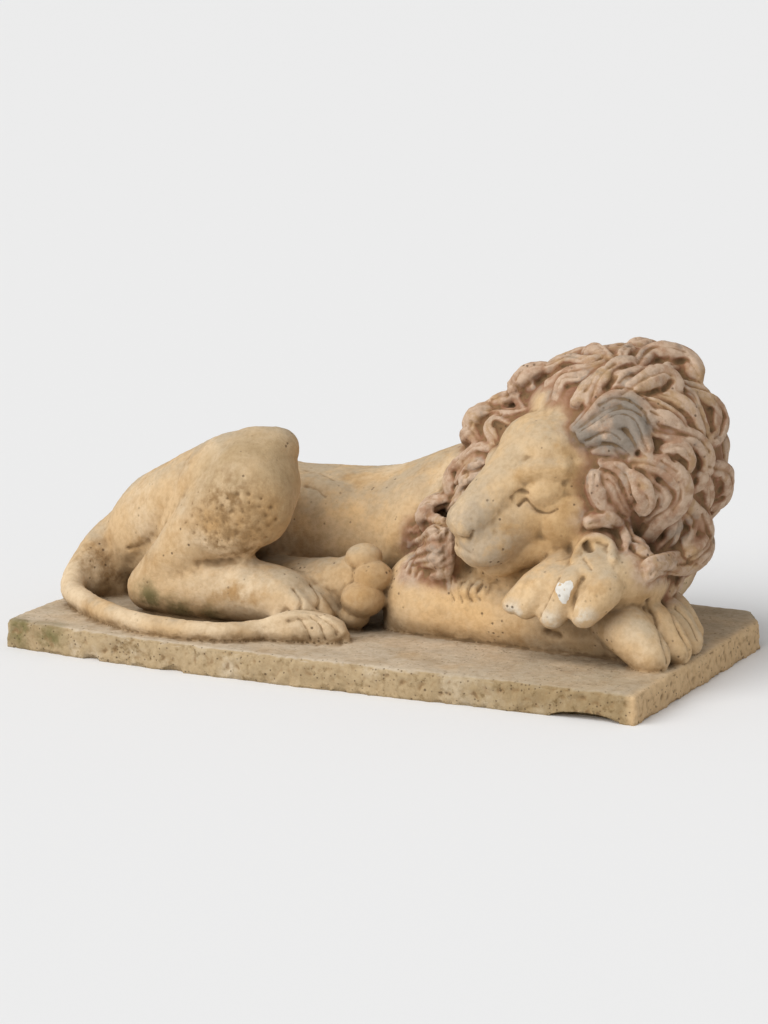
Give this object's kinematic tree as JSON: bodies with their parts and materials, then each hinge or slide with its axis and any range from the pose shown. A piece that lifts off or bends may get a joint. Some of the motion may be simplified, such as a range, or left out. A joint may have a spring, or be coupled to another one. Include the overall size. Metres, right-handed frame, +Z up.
{
  "type": "garden lion statue",
  "caption": "Sleeping lion on a thin oblong plinth, cast in one piece of ochre cast stone, a weathered garden ornament that stands by its own weight.",
  "frame": {"origin": "middle of the plinth's underside", "axes": "+X from the rump to the mane along the plinth, +Y to the lion's back, +Z up"},
  "size_m": [0.7614, 0.4319, 0.3595],
  "materials": {
    "cast_stone": "weathered, matt, pitted"
  },
  "bodies": {
    "root": {"sleeping_lion": "cast_stone"}
  },
  "joints": []
}
